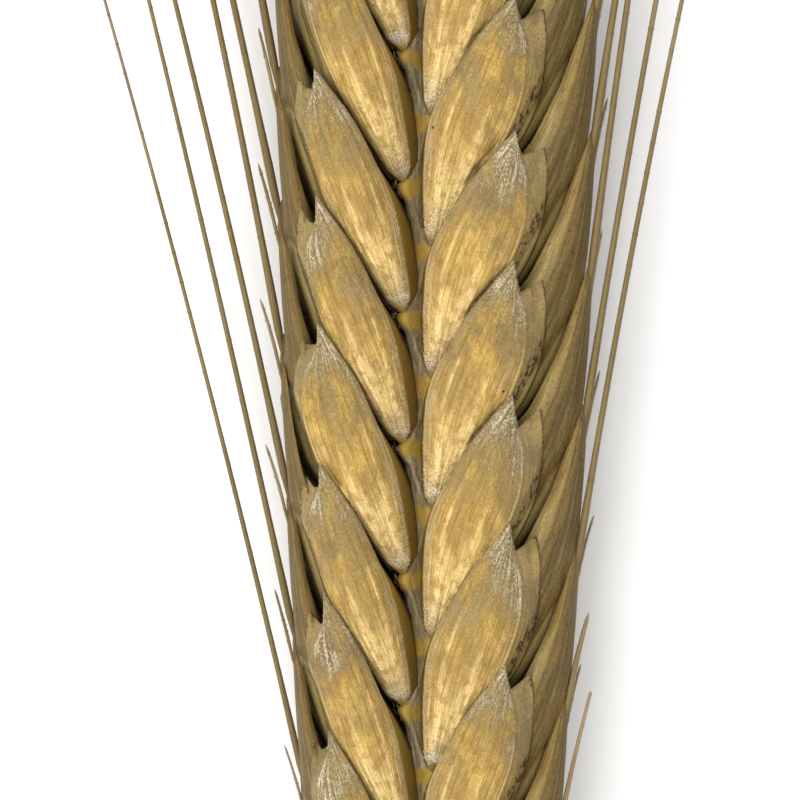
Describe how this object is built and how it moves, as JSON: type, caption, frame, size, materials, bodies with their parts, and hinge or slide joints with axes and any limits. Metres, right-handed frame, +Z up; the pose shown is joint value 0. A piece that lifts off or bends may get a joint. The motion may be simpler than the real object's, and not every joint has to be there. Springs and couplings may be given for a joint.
{
  "type": "wheat ear",
  "caption": "Ripe bearded ear of hulled wheat with overlapping keeled husks in two rows, long thin awns and a short straw stub, lying flat.",
  "frame": {"origin": "on the table under the middle of the whole part's box", "axes": "+Y along the ear from the straw to the awn tips, +Z up from the table, the rows of husks stand out along -X and +X"},
  "size_m": [0.0434, 0.155, 0.0059],
  "materials": {
    "husk": "dry, finely ribbed, slightly silky",
    "straw": "dry, smooth, slightly shiny"
  },
  "bodies": {
    "root": {"straw_and_rachis": "straw", "spikelet_01": "husk", "spikelet_02": "husk", "spikelet_03": "husk", "spikelet_04": "husk", "spikelet_05": "husk", "spikelet_06": "husk", "spikelet_07": "husk", "spikelet_08": "husk", "spikelet_09": "husk", "spikelet_10": "husk", "spikelet_11": "husk", "spikelet_12": "husk", "spikelet_13": "husk", "spikelet_14": "husk", "spikelet_15": "husk", "spikelet_16": "husk", "spikelet_17": "husk", "spikelet_18": "husk", "spikelet_19": "husk", "spikelet_20": "husk", "spikelet_21": "husk", "spikelet_22": "husk", "spikelet_23": "husk", "spikelet_24": "husk", "spikelet_top": "husk"}
  },
  "joints": []
}
